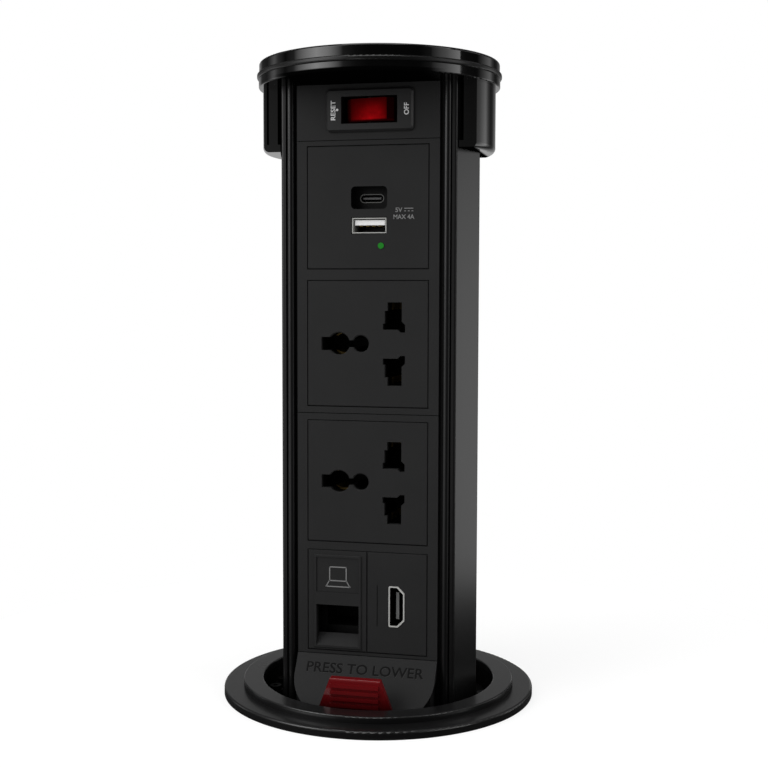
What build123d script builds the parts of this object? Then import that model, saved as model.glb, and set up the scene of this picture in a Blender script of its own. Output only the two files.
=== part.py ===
from build123d import *
import math
import os

# Pop up desk socket, in millimetres. The origin lies on the axis of the bore, on the surface of
# the desk. +Z is up, the front of the tower faces -Y, and the tower is drawn raised.

# Fits
fit = 0.05  # between pieces fixed to each other
run = 0.3  # between pieces that slide past each other
seam = 0.12  # half of the line between two front plates
over = 1.0  # how far a cut runs past a face
quarter_turn = 90

# Screw heads and hexagons
key_sides = 6
key_share = 0.45
key_depth_share = 0.6

# Width of the tower, from the modules outwards
module_half = 22.5
panel_side = 3.8
rail_side = 2.65
corner_side = 3.35
ridge_side = 5.5
bore_side = 5.9

# Desk flange, trim ring and gasket
trim_w = 7.4
trim_h = 2.5
trim_edge = 0.45
spigot_side = 0.9
spigot_h = 15.0
flange_rim = 6.5
flange_t = 3.0
flange_edge = 0.8
gasket_land = 1.5
gasket_w = 3.0
gasket_t = 0.8

# Cap
collar_side = 0.83
collar_h = 3.3
collar_edge = 0.5
bead_side = 0.63
bead_h = 1.9
bead_edge = 0.6
cap_inset = 0.17
cap_h = 3.9
cap_edge = 0.9
cap_hub_inset = 8.36
cap_lip_w = 2.2
cap_lip_h = 0.5
skirt_inset = 1.6
skirt_side = 0.7
skirt_h = 23.6
skirt_gap = 1.4
skirt_lip_gap = 0.4
skirt_edge = 2.0
skirt_rim = 1.1
skirt_lip = 2.7
skirt_recess = 1.2
plug_h = 12.0
plug_wall = 3.0

# Tower shell
shell_corner_y = 18.2
shell_wall = 2.0
shell_corner_edge = 0.9
shell_ridge_edge = 2.5
panel_proud = 0.32
panel_t = 2.4
rail_inset = 0.8
rail_r = 1.4
rail_gap = 0.35
front_flange_t = 2.0
front_flange_lap = 2.0

# Sleeve under the desk
sleeve_wall = 1.8
seat_gap = 0.4
rib_w = 4.0
rib_depth = 1.9
rib_drop = 6.0
window_w = 9.0
window_h = 9.0
pad_t = 5.0
pad_inset = 4.2
pad_hole_r = 14.0
end_cap_t = 4.0
end_spigot_wall = 3.0
end_spigot_h = 4.0
end_screw_r = 1.2
end_screw_head_r = 2.2
end_screw_head_h = 1.5
end_screw_count = 4
end_screw_turn = 45

# Rise stop
stop_half_angle = 24
stop_w = 4.2
stop_h = 3.2
stop_gap = 0.4

# Cable gland
cable_bore_r = 4.2
gland_stem_r = 6.0
gland_nut_af_r = 8.5
gland_nut_h = 3.4
gland_hex_r = 10.0
gland_hex_h = 6.0
gland_dome_r = 8.0
gland_dome_h = 10.0
gland_dome_edge = 2.0

# Desk clamps
clamp_screw_r = 1.75
clamp_head_r = 2.35
clamp_head_h = 1.4
clamp_cover = 0.25
clamp_boss_r = 2.7
clamp_least_desk = 5.0
clamp_travel = 49.0
clamp_nut_h = 4.0
clamp_nut_w = 8.0
dog_h = 6.0
dog_turn = 20
lug_h = 6.0
lug_w = 7.0
lug_wall = 2.6

# Tower foot
foot_top = -4.0
foot_h = 38.0
foot_gap = 0.5
foot_edge = 1.0
foot_side = 20.9
foot_front = 11.2
foot_back = 13.2
foot_plug_h = 12.0
foot_plug_wall = 3.0
base_plate_t = 2.5
base_plate_inset = 5.2
base_screw_r = 1.5
base_screw_head_r = 2.7
base_screw_head_h = 1.2
base_screw_l = 12.0
base_screw_side = 4.7
base_screw_y = 14.0
foot_screw_inset = 3.6
foot_screw_y = 5.0
foot_screw_r = 1.3
foot_screw_head_r = 2.3
foot_screw_head_h = 1.6
foot_screw_l = 9.0
foot_boss_r = 2.8
foot_boss_h = 1.8
shell_screw_x = 18.0
shell_screw_r = 1.3
shell_screw_head_r = 2.6
shell_screw_head_h = 1.3
shell_screw_l = 4.2

# Release bezel, button, latches
bib_top = 17.25
bib_bottom = -0.6
bib_slope_share = 1.42
bib_t = 2.2
bib_corner_r = 11.5
bib_gusset_t = 2.0
bib_gusset_inset = 1.2
bib_web_low = 6.5
press_travel = 3.5
latch_share = 0.8
button_reach = 18.48
button_root = 0.88
button_drop = 3.35
button_rise = 1.5
button_top_half = 9.1
button_bottom_half = 14.2
button_head_t = 3.0
button_head_edge = 0.8
button_stem_drop = 5.0
button_stem_top_half = 5.6
button_stem_bottom_half = 10.6
button_cheek_rake = 1.6
button_field_half = 8.8
button_field_rise = 0.5
button_field_drop = 1.8
button_rib_count = 5
button_rib_h = 0.9
button_rib_w = 1.35
window_gap = 0.4
leg_t = 2.6
cam_t = 2.5
cam_side = 2.8
cam_back = 13.0
cam_arm_half = 6.0
tab_t = 3.0
tab_h = 8.5
tab_half = 4.0
latch_drop = 20.0
latch_h = 8.0
latch_w = 8.0
latch_tail_step = 2.5
latch_pin_inset = 5.0
latch_pin_r = 1.5
latch_pin_h = 3.0
latch_tip_gap = 0.3
latch_tip_bevel = 2.5
spring_wire_r = 0.3
spring_r = 2.5
spring_pitch = 1.7
post_half = 1.8

# Front of the tower, stacked upwards from the release bezel
data_margin = 1.29
data_h = 37.67
socket_two_margin = 3.11
socket_two_h = 44.92
lower_margin = 2.59
upper_margin = 2.5
socket_one_h = 45.88
usb_margin = 4.06
usb_h = 44.16
switch_margin = 1.91
switch_panel_h = 20.06
case_flange = 1.2
case_flange_t = 1.5
case_inset = 1.5
case_wall = 1.6
plate_edge = 0.25

# USB module
usb_x = 0.55
usb_case_depth = 20.07
usb_well_w = 13.4
usb_well_h = 8.1
usb_well_rise = 25.53
usb_well_r = 1.6
usb_well_depth = 4.9
usb_c_w = 8.94
usb_c_h = 3.16
usb_c_wall = 0.3
usb_c_depth = 7.0
usb_c_tongue_w = 6.69
usb_c_tongue_t = 0.7
usb_a_w = 12.7
usb_a_h = 5.5
usb_a_gap = 0.25
usb_a_rise = 15.58
usb_a_wall = 0.35
usb_a_depth = 12.0
usb_a_inset = 0.4
usb_a_tongue_w = 11.1
usb_a_tongue_t = 1.84
usb_a_tongue_gap = 0.4
usb_a_contact_w = 1.1
usb_a_contact_t = 0.35
usb_a_contact_pitch = 2.3
usb_a_contact_count = 4
led_x = 5.0
led_rise = 8.33
led_r = 1.1
led_dome = 0.3
board_t = 1.6
board_side = 1.4
board_margin = 4.0

# Universal socket: places from the middle of its face
socket_body_depth = 22.07
socket_depth = 17.0
hole_edge = 0.35
earth_x = -10.6
earth_r = 4.0
earth_slot_x = -17.2
earth_slot_half = 2.4
neck_slot_half = 1.25
small_x = -2.47
small_r = 3.0
pin_low = 5.2
pin_high = 15.05
pin_left = 7.5
pin_right = 12.75
pin_step_x = 6.45
pin_step_z = 12.0
pin_foot_x = 5.78
pin_foot_z = 7.4
pin_toe_x = 13.97
pin_toe_in_x = 12.25
pin_toe_low = 4.2
pin_toe_high = 6.95
pin_toe_cut = 1.15
cavity_grow = 0.35
contact_t = 0.6
contact_start = 6.0
earth_sleeve_wall = 0.7

# Data and display modules
frame_left = 3.35
frame_right = 3.0
frame_proud = 0.5
frame_rim = 0.95
icon_rise = 21.95
icon_h = 12.95
icon_recess = 0.35
icon_plate_t = 1.0
jack_rise = 1.86
jack_h = 15.35
sill_h = 3.9
sill_depth = 4.1
jack_port_w = 11.9
jack_port_h = 8.0
jack_port_rise = 11.66
jack_set = 5.5
jack_depth = 14.0
jack_wall = 1.4
jack_wire_r = 0.23
jack_wire_pitch = 1.02
jack_wire_count = 8
jack_wire_drop = 1.3
jack_wire_start = 3.0
hdmi_x0 = 8.2
hdmi_w = 5.9
hdmi_rise = 10.2
hdmi_h = 15.1
hdmi_chamfer = 2.4
hdmi_corner_r = 0.5
hdmi_wall = 0.45
hdmi_depth = 9.0
hdmi_proud = 0.25
hdmi_tongue_t = 1.1
hdmi_tongue_margin = 2.6
hdmi_tongue_set = 2.0
hdmi_body_w = 9.6
hdmi_body_h = 20.0
hdmi_mark_x = 3.93
hdmi_mark_w = 0.35
hdmi_mark_depth = 0.3

# Power switch
switch_x = 0.85
switch_rise = 10.46
switch_bezel_w = 32.1
switch_bezel_h = 15.2
switch_bezel_t = 1.5
switch_bezel_r = 1.6
switch_bezel_edge = 0.7
switch_open_w = 20.6
switch_open_h = 9.6
switch_body_side = 2.7
switch_body_rim = 1.4
switch_body_depth = 24.5
switch_well = 9.0
rocker_half = 9.2
rocker_flat_half = 6.6
rocker_h = 8.2
rocker_pivot_inset = 1.52
rocker_front_rise = 2.5
rocker_end_drop = 2.2
rocker_tilt = 12
rocker_root = 4.0
rocker_axle_r = 1.2

# What follows from the sizes above
panel_half = module_half + panel_side
rail_x = panel_half + rail_side
shell_corner_x = rail_x + corner_side
shell_ridge_x = shell_corner_x + ridge_side
front_opening_half = panel_half - front_flange_lap
bore_r = shell_ridge_x + bore_side
panel_y = shell_corner_y + panel_proud
rail_y = shell_corner_y - rail_inset
plate_back = -panel_y + panel_t
case_front = plate_back + fit
case_half = module_half - case_inset
board_half = case_half - case_wall - board_side

trim_r = bore_r + trim_w
trim_top = flange_t + trim_h
spigot_r = trim_r + spigot_side
flange_r = spigot_r + flange_rim
sleeve_r = bore_r + sleeve_wall
collar_r = bore_r + collar_side
bead_r = collar_r + bead_side
cap_r = collar_r - cap_inset
cap_hub_r = cap_r - cap_hub_inset
skirt_r = collar_r - skirt_inset
skirt_half_y = shell_corner_y - skirt_side

panel_bottom = bib_top
data_low = panel_bottom + data_margin
data_high = data_low + data_h
socket_two_low = data_high + socket_two_margin
socket_two_high = socket_two_low + socket_two_h
middle_line = socket_two_high + lower_margin
socket_one_low = middle_line + upper_margin
socket_one_high = socket_one_low + socket_one_h
usb_low = socket_one_high + usb_margin
usb_high = usb_low + usb_h
switch_line = usb_high + switch_margin
cap_under = switch_line + switch_panel_h

usb_well_z = usb_low + usb_well_rise
usb_a_z = usb_low + usb_a_rise
led_z = usb_low + led_rise
switch_z = switch_line + switch_rise
switch_body_w = switch_open_w + 2 * switch_body_side
switch_body_h = switch_open_h + 2 * switch_body_rim
rocker_pivot_y = panel_y - rocker_pivot_inset
frame_x0 = -module_half + frame_left
frame_x1 = -frame_right
icon_low = data_low + icon_rise
icon_high = icon_low + icon_h
jack_low = data_low + jack_rise
jack_high = jack_low + jack_h
jack_port_z = data_low + jack_port_rise
jack_x = (frame_x0 + frame_x1) / 2
hdmi_x1 = hdmi_x0 + hdmi_w
hdmi_low = data_low + hdmi_rise
hdmi_high = hdmi_low + hdmi_h

travel = cap_under - trim_top - seat_gap
foot_bottom = foot_top - foot_h
foot_r = bore_r - foot_gap
foot_cavity_half_x = foot_r - foot_side
foot_cavity_front = foot_r - foot_front
foot_cavity_back = foot_r - foot_back
base_plate_r = foot_r - base_plate_inset
base_screw_x = foot_cavity_half_x + base_screw_side
foot_screw_x = foot_r - foot_screw_inset
latch_z = foot_top - latch_drop
cam_half_x = foot_cavity_half_x - cam_side
latch_pin_x = cam_half_x - latch_pin_inset
latch_tail_x = latch_pin_x - latch_tail_step
button_front = panel_y + button_reach
button_back = panel_y + button_root
button_top = bib_top - button_drop
button_bottom = bib_bottom + button_rise
stop_in_r = bore_r - stop_w
pad_r = foot_r - pad_inset
pad_top = foot_bottom - travel - seat_gap
end_cap_top = pad_top - pad_t
end_cap_bottom = end_cap_top - end_cap_t
clamp_x = trim_r - clamp_head_r - clamp_cover
clamp_nut_low = -(spigot_h + clamp_least_desk + clamp_travel + dog_h + clamp_nut_h)
dog_low = clamp_nut_low + clamp_nut_h + fit
lug_top = clamp_nut_low - run


def block(x, y, z):
    """A box between pairs of coordinates."""
    size = (x[1] - x[0], y[1] - y[0], z[1] - z[0])
    return Pos((x[0] + x[1]) / 2, (y[0] + y[1]) / 2, (z[0] + z[1]) / 2) * Box(*size)


def post(r, z, x=0, y=0):
    """An upright cylinder."""
    return Pos(x, y, (z[0] + z[1]) / 2) * Cylinder(r, z[1] - z[0])


def tube(r_in, r_out, z):
    """An upright ring about the object's axis."""
    return post(r_out, z) - post(r_in, (z[0] - over, z[1] + over))


def along_y(sketch, y):
    """A sketch of X and Z places, pushed along Y."""
    return Pos(0, y[1], 0) * extrude(Plane.XZ * sketch, y[1] - y[0])


def along_x(sketch, x):
    """A sketch of Y and Z places, pushed along X."""
    return Pos(x[0], 0, 0) * extrude(Plane.YZ * sketch, x[1] - x[0])


def along_z(sketch, z):
    """A sketch of X and Y places, pushed along Z."""
    return Pos(0, 0, z[0]) * extrude(sketch, z[1] - z[0])


def outline(*points):
    """A polygon, taken anticlockwise whichever way its corners run."""
    area = sum(a[0] * b[1] - b[0] * a[1] for a, b in zip(points, points[1:] + points[:1]))
    return Polygon(*(points if area > 0 else reversed(points)), align=None)


def patch(u, v):
    """A rectangle between pairs of coordinates."""
    return Pos((u[0] + u[1]) / 2, (v[0] + v[1]) / 2) * Rectangle(u[1] - u[0], v[1] - v[0])


def round_edges_at(part, z, r, size):
    """Rounds the circular edges of radius r at height z."""
    near = [e for e in part.edges().filter_by(GeomType.CIRCLE)
            if abs(e.center().Z - z) < fit and abs(e.radius - r) < fit]
    return fillet(near, size)


def mirrored(part):
    """The same piece on the other side of the tower."""
    return mirror(part, about=Plane.YZ)


def screw(r, head_r, head_h, length):
    """A pan head screw along -Z with the underside of its head at zero."""
    key = extrude(RegularPolygon(head_r * key_share, key_sides), head_h)
    body = post(head_r, (0, head_h)) + post(r, (-length, 0))
    return body - Pos(0, 0, head_h * key_depth_share) * key


def toward(part, x, y, z, turn_x=0, turn_y=0, turn_z=0):
    return Pos(x, y, z) * Rot(turn_x, turn_y, turn_z) * part


def hexagon(grow):
    """The section of the tower, grown outwards by the same width all round."""
    dx = shell_ridge_x - shell_corner_x
    side = math.hypot(dx, shell_corner_y)
    # how far each corner moves so that both of its sides move out by the width
    ridge = grow * side / shell_corner_y
    corner = grow * (side - dx) / shell_corner_y
    cx, cy, rx = shell_corner_x + corner, shell_corner_y + grow, shell_ridge_x + ridge
    return outline((cx, -cy), (rx, 0), (cx, cy), (-cx, cy), (-rx, 0), (-cx, -cy))


# Fixed in the desk
def desk_flange():
    disc = post(flange_r, (0, flange_t))
    disc = round_edges_at(disc, flange_t, flange_r, flange_edge)
    part = disc + post(spigot_r, (-spigot_h, 0))
    part -= post(sleeve_r + fit, (-spigot_h - over, flange_t + over))
    groove_in = spigot_r + gasket_land
    part -= tube(groove_in, groove_in + gasket_w, (-over, gasket_t)) & post(flange_r, (0, gasket_t))
    for x in (-clamp_x, clamp_x):
        part -= post(clamp_screw_r + run, (-spigot_h - over, flange_t + over), x)
        part -= post(clamp_head_r + fit, (flange_t - clamp_head_h - run, flange_t + over), x)
    return part


def trim_ring():
    part = tube(bore_r, trim_r, (flange_t, trim_top))
    part = round_edges_at(part, trim_top, trim_r, trim_edge)
    return round_edges_at(part, trim_top, bore_r, trim_edge)


def flange_gasket():
    groove_in = spigot_r + gasket_land
    return tube(groove_in + fit, groove_in + gasket_w - fit, (0, gasket_t - fit))


def outer_sleeve():
    part = tube(bore_r, sleeve_r, (end_cap_top, flange_t))
    rib = block((-rib_w / 2, rib_w / 2), (bore_r - rib_depth, bore_r + sleeve_wall / 2),
                (end_cap_top + end_spigot_h + run, -rib_drop))
    part += rib
    for side in (-1, 1):
        part -= toward(Box(2 * (sleeve_wall + over), window_w, window_h), side * sleeve_r, 0, latch_z)
        reach = sorted((side * (sleeve_r - sleeve_wall / 2), side * (clamp_x + clamp_boss_r)))
        part += block(reach, (-lug_w / 2, lug_w / 2), (lug_top - lug_h, lug_top))
        part -= post(clamp_screw_r + fit, (lug_top - lug_h + lug_wall - run, lug_top + over), side * clamp_x)
    for angle in end_screw_angles():
        part -= Rot(0, 0, angle) * radial_hole(end_screw_r + fit)
    return part


def end_screw_angles():
    return [end_screw_turn + 360 * i / end_screw_count for i in range(end_screw_count)]


def radial_hole(r):
    """A hole along +X through the sleeve at the height of the end screws."""
    middle = end_cap_top + end_spigot_h / 2
    reach = sleeve_r - bore_r + end_spigot_wall + over
    return toward(Cylinder(r, 2 * reach), sleeve_r, 0, middle, turn_y=quarter_turn)


def clamp_screws():
    length = flange_t - clamp_head_h - lug_top + lug_h - lug_wall
    one = screw(clamp_screw_r, clamp_head_r, clamp_head_h, length)
    z = flange_t - clamp_head_h - run / 2
    return [Pos(x, 0, z) * one for x in (-clamp_x, clamp_x)]


def clamp_nut(side):
    x = side * clamp_x
    nut = block((x - clamp_boss_r, x + clamp_boss_r), (-clamp_nut_w / 2, clamp_nut_w / 2),
                (clamp_nut_low, clamp_nut_low + clamp_nut_h))
    return nut - post(clamp_screw_r + fit, (clamp_nut_low - over, dog_low + over), x)


def clamp_dog(side):
    """A finger that follows the sleeve until it swings out under the desk."""
    z = (dog_low, dog_low + dog_h)
    ring = tube(clamp_x - clamp_boss_r + fit, clamp_x + clamp_boss_r - fit, z)
    far = spigot_r + over
    turn = math.radians(dog_turn)
    wedge = along_z(outline((0, 0), (far, 0), (far * math.cos(turn), far * math.sin(turn))), z)
    finger = ring & wedge
    tip = post(clamp_boss_r - fit, z, clamp_x * math.cos(turn), clamp_x * math.sin(turn))
    part = finger + tip + post(clamp_boss_r, z, clamp_x)
    part -= post(clamp_screw_r + fit, (z[0] - over, z[1] + over), clamp_x)
    return part if side > 0 else Rot(0, 0, 180) * part


def rise_stop():
    """An arc inside the back of the sleeve that the foot comes up against."""
    z = (foot_top + stop_gap, foot_top + stop_gap + stop_h)
    turn = math.radians(stop_half_angle)
    far = bore_r + over
    wedge = along_z(outline((0, 0), (far * math.sin(turn), far * math.cos(turn)), (0, far),
                            (-far * math.sin(turn), far * math.cos(turn))), z)
    return tube(stop_in_r, bore_r - fit, z) & wedge


def sleeve_end_cap():
    part = post(sleeve_r, (end_cap_bottom, end_cap_top - fit))
    spigot = tube(bore_r - end_spigot_wall, bore_r - fit, (end_cap_top - fit, end_cap_top + end_spigot_h))
    part += spigot
    part -= post(gland_stem_r + fit, (end_cap_bottom - over, end_cap_top + over))
    for angle in end_screw_angles():
        part -= Rot(0, 0, angle) * radial_hole(end_screw_r + fit)
    return part


def end_cap_screws():
    middle = end_cap_top + end_spigot_h / 2
    length = sleeve_wall + end_spigot_wall
    one = screw(end_screw_r, end_screw_head_r, end_screw_head_h, length)
    one = toward(one, sleeve_r + fit, 0, middle, turn_y=quarter_turn)
    return [Rot(0, 0, angle) * one for angle in end_screw_angles()]


def landing_pad():
    return tube(pad_hole_r, pad_r, (end_cap_top, pad_top))


def cable_gland():
    hex_low = end_cap_bottom - gland_hex_h
    dome_low = hex_low - gland_dome_h
    stem = post(gland_stem_r, (hex_low, end_cap_top + gland_nut_h + over))
    hexa = along_z(RegularPolygon(gland_hex_r, key_sides), (hex_low, end_cap_bottom - fit))
    dome = post(gland_dome_r, (dome_low, hex_low))
    dome = round_edges_at(dome, dome_low, gland_dome_r, gland_dome_edge)
    return stem + hexa + dome - post(cable_bore_r, (dome_low - over, end_cap_top + gland_nut_h + 2 * over))


def gland_nut():
    part = along_z(RegularPolygon(gland_nut_af_r, key_sides), (end_cap_top, end_cap_top + gland_nut_h))
    return part - post(gland_stem_r + fit, (end_cap_top - over, end_cap_top + gland_nut_h + over))


# The tower's frame
def tower_shell():
    z = (foot_top, cap_under)
    part = along_z(hexagon(0), z)
    upright = part.edges().filter_by(Axis.Z)
    part = fillet([e for e in upright if abs(e.center().Y) > fit], shell_corner_edge)
    upright = part.edges().filter_by(Axis.Z)
    part = fillet([e for e in upright if abs(e.center().Y) < fit], shell_ridge_edge)
    part -= along_z(hexagon(-shell_wall), (z[0] - over, z[1] + over))
    half = rail_x + rail_r + rail_gap
    part -= block((-half, half), (-shell_corner_y - over, plate_back), (z[0] - over, z[1] + over))
    for side in (-1, 1):
        reach = sorted((side * front_opening_half, side * shell_corner_x))
        part += block(reach, (plate_back, plate_back + front_flange_t), z)
        part += post(rail_r, z, side * rail_x, -rail_y)
    for place_z in (foot_top + foot_plug_h / 2, cap_under - plug_h / 2):
        for x in (-shell_screw_x, shell_screw_x):
            hole = Cylinder(shell_screw_r + fit, 2 * (shell_wall + over))
            part -= toward(hole, x, shell_corner_y, place_z, turn_x=quarter_turn)
    return part


def shell_screws():
    one = screw(shell_screw_r, shell_screw_head_r, shell_screw_head_h, shell_screw_l)
    places = []
    for place_z in (foot_top + foot_plug_h / 2, cap_under - plug_h / 2):
        for x in (-shell_screw_x, shell_screw_x):
            places.append(toward(one, x, shell_corner_y + fit, place_z, turn_x=-quarter_turn))
    return places


def inner_plug(z, wall):
    """A wall that fills the back and sides of the shell's inside, open towards the front."""
    part = along_z(hexagon(-shell_wall - fit), z)
    part -= along_z(hexagon(-shell_wall - wall), (z[0] - over, z[1] + over))
    front = -shell_corner_y + shell_wall + wall + front_flange_t
    part -= block((-shell_ridge_x, shell_ridge_x), (-shell_corner_y, front), (z[0] - over, z[1] + over))
    for x in (-shell_screw_x, shell_screw_x):
        middle = (z[0] + z[1]) / 2
        depth = wall + shell_wall + over
        hole = Cylinder(shell_screw_r + fit, 2 * depth)
        part -= toward(hole, x, shell_corner_y, middle, turn_x=quarter_turn)
    return part


def tower_foot():
    part = post(foot_r, (foot_bottom, foot_top - fit))
    part = round_edges_at(part, foot_bottom, foot_r, foot_edge)
    part -= block((-foot_cavity_half_x, foot_cavity_half_x), (-foot_cavity_front, foot_cavity_back),
                  (foot_bottom - over, foot_top + over))
    part -= post(base_plate_r + fit, (foot_bottom - over, foot_bottom + base_plate_t + fit))
    half_rib = rib_w / 2 + run
    rib_front = bore_r - rib_depth - run
    part -= block((-half_rib, half_rib), (rib_front, bore_r), (foot_bottom - over, foot_top + over))
    half_w, half_h = latch_w / 2 + run, latch_h / 2 + run
    part -= block((-foot_r - over, foot_r + over), (-half_w, half_w), (latch_z - half_h, latch_z + half_h))
    for x in (-foot_screw_x, foot_screw_x):
        for y in (-foot_screw_y, foot_screw_y):
            part += post(foot_boss_r, (foot_top - over, foot_top + foot_boss_h), x, y)
            part -= post(foot_screw_r + fit, (foot_top - foot_screw_l, foot_top + foot_boss_h + over), x, y)
    for x in (-base_screw_x, base_screw_x):
        for y in (-base_screw_y, base_screw_y):
            part -= post(base_screw_r + fit, (foot_bottom - over, foot_bottom + base_screw_l + over), x, y)
    part += inner_plug((foot_top - fit, foot_top + foot_plug_h), foot_plug_wall)
    return part


def foot_screws():
    one = screw(foot_screw_r, foot_screw_head_r, foot_screw_head_h, foot_screw_l)
    z = foot_top + foot_boss_h + fit
    return [Pos(x, y, z) * one for x in (-foot_screw_x, foot_screw_x) for y in (-foot_screw_y, foot_screw_y)]


def foot_base_plate():
    part = post(base_plate_r, (foot_bottom, foot_bottom + base_plate_t))
    top = foot_bottom + base_plate_t
    part -= post(gland_stem_r, (foot_bottom - over, top + over), 0, foot_cavity_back / 2)
    part += block((-post_half, post_half), (-latch_w / 2, latch_w / 2), (top, latch_z + latch_h / 2))
    for x in (-base_screw_x, base_screw_x):
        for y in (-base_screw_y, base_screw_y):
            part -= post(base_screw_r + fit, (foot_bottom - over, top + over), x, y)
            head_top = foot_bottom + base_screw_head_h + fit
            part -= post(base_screw_head_r + fit, (foot_bottom - over, head_top), x, y)
    return part


def base_plate_screws():
    one = Rot(180, 0, 0) * screw(base_screw_r, base_screw_head_r, base_screw_head_h, base_screw_l - over)
    z = foot_bottom + base_screw_head_h
    return [Pos(x, y, z) * one for x in (-base_screw_x, base_screw_x) for y in (-base_screw_y, base_screw_y)]


# Release bezel, button and latches
def bib_y(z):
    """Where the sloping front of the release bezel lies at a height."""
    return -panel_y - (bib_top - z) / bib_slope_share


def trapezoid(high, low_half, high_half, grow):
    """The front view of a part of the button, which widens downwards, grown all round."""
    lean = (low_half - high_half) / (high - button_bottom)
    spread = grow * math.hypot(1, lean)
    low_out, high_out = low_half + spread + grow * lean, high_half + spread - grow * lean
    return outline((-low_out, button_bottom - grow), (low_out, button_bottom - grow),
                   (high_out, high + grow), (-high_out, high + grow))


def button_stem(grow):
    return trapezoid(button_top - button_stem_drop, button_stem_bottom_half, button_stem_top_half, grow)


def release_bezel():
    back = bib_t * math.hypot(1, bib_slope_share) / bib_slope_share
    top, low = bib_top - seam, bib_bottom
    slab = outline((bib_y(top), top), (bib_y(low), low), (bib_y(low) + back, low), (bib_y(top) + back, top))
    part = along_x(slab, (-panel_half, panel_half))
    corner = bib_corner_r
    shape = patch((-panel_half, panel_half), (low, top + over))
    shape -= patch((-panel_half, -panel_half + corner), (low, low + corner))
    shape -= patch((panel_half - corner, panel_half), (low, low + corner))
    for side in (-1, 1):
        shape += Pos(side * (panel_half - corner), low + corner) * Circle(corner)
    part &= along_y(shape, (bib_y(low) - over, plate_back))
    # two webs behind the slope stand on the foot
    gusset_x = panel_half - bib_gusset_inset
    inside = back / 2
    gusset = outline((bib_y(top) + inside, top), (bib_y(bib_web_low) + inside, bib_web_low),
                     (bib_y(bib_web_low) + inside, foot_top), (plate_back, foot_top), (plate_back, top))
    for side in (-1, 1):
        part += along_x(gusset, sorted((side * gusset_x, side * (gusset_x - bib_gusset_t))))
    return part - along_y(button_stem(window_gap), (bib_y(low) - over, 0))


def release_button():
    """Ribbed head, stem, leg and the cam plate that draws both latch bolts in."""
    head = trapezoid(button_top, button_bottom_half, button_top_half, 0)
    part = along_y(head, (-button_front, -button_front + button_head_t))
    top_edge = part.edges().filter_by(Axis.X).group_by(Axis.Z)[-1].group_by(Axis.Y)[0]
    part = fillet(top_edge, button_head_edge)
    # the cheeks beside the ribbed field fall back towards their outer edge
    for side in (-1, 1):
        cheek = outline((side * button_field_half, -button_front - over),
                        (side * button_field_half, -button_front),
                        (side * button_bottom_half, -button_front + button_cheek_rake),
                        (side * (button_bottom_half + over), -button_front - over))
        part -= along_z(cheek, (button_bottom - over, button_top + over))
    part += along_y(button_stem(0), (-button_front + button_head_t, -button_back))
    field_low, field_high = button_bottom + button_field_rise, button_top - button_field_drop
    step = (field_high - field_low - button_rib_w) / (button_rib_count - 1)
    for i in range(button_rib_count):
        z = field_low + step * i
        part += block((-button_field_half, button_field_half),
                      (-button_front - button_rib_h, -button_front + fit), (z, z + button_rib_w))
    cam_low = latch_z + latch_h / 2 + run
    leg_front = -button_back - leg_t
    part += block((-cam_arm_half, cam_arm_half), (leg_front, -button_back), (cam_low, button_bottom + leg_t))
    part += block((-cam_arm_half, cam_arm_half), (leg_front, 0), (cam_low, cam_low + cam_t))
    plate_front = -latch_w - press_travel
    part += block((-cam_half_x, cam_half_x), (plate_front, cam_back), (cam_low, cam_low + cam_t))
    part += block((-tab_half, tab_half), (cam_back - tab_t, cam_back), (cam_low, cam_low + tab_h))
    pull = press_travel * latch_share
    for side in (-1, 1):
        angle = math.degrees(math.atan2(press_travel, side * pull))
        slot = Rot(0, 0, angle) * SlotCenterToCenter(math.hypot(pull, press_travel), 2 * (latch_pin_r + run))
        middle = Pos(side * (latch_pin_x - pull / 2), -press_travel / 2)
        part -= along_z(middle * slot, (cam_low - over, cam_low + cam_t + over))
    return part


def latch_bolt(side):
    low, high = latch_z - latch_h / 2, latch_z + latch_h / 2
    tip = bore_r - latch_tip_gap
    shape = outline((latch_tail_x, low), (tip, low), (tip, high - latch_tip_bevel),
                    (tip - latch_tip_bevel, high), (latch_tail_x, high))
    part = along_y(shape, (-latch_w / 2, latch_w / 2))
    part += post(latch_pin_r, (high - fit, high + latch_pin_h), latch_pin_x)
    return part if side > 0 else mirrored(part)


def coil(length):
    """A compression spring along +Z from zero, with its length measured over the wire."""
    path = Helix(spring_pitch, length - 2 * spring_wire_r, spring_r)
    section = Plane(origin=path @ 0, z_dir=path % 0) * Circle(spring_wire_r)
    return Pos(0, 0, spring_wire_r) * sweep(section, path=path, is_frenet=True)


def latch_springs():
    length = latch_tail_x - post_half - 2 * run
    one = toward(coil(length), post_half + run, 0, latch_z, turn_y=quarter_turn)
    return [one, Rot(0, 0, 180) * one]


def button_spring():
    start = cam_back + run
    z = latch_z + latch_h / 2 + run + tab_h / 2 + cam_t / 2
    return toward(coil(foot_cavity_back - start - run), 0, start, z, turn_x=-quarter_turn)


# Front plates
def plate(z, windows):
    """A front plate of the tower with a window for each module."""
    part = block((-panel_half, panel_half), (-panel_y, plate_back), (z[0] + seam, z[1] - seam))
    for window in windows:
        part -= block((-module_half - seam, module_half + seam), (-panel_y - over, plate_back + over),
                      (window[0] - seam, window[1] + seam))
    return part


def module_face(x, z):
    part = block((x[0] + seam, x[1] - seam), (-panel_y, plate_back), (z[0] + seam, z[1] - seam))
    front = part.edges().group_by(Axis.Y)[0]
    return chamfer(front, plate_edge)


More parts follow.
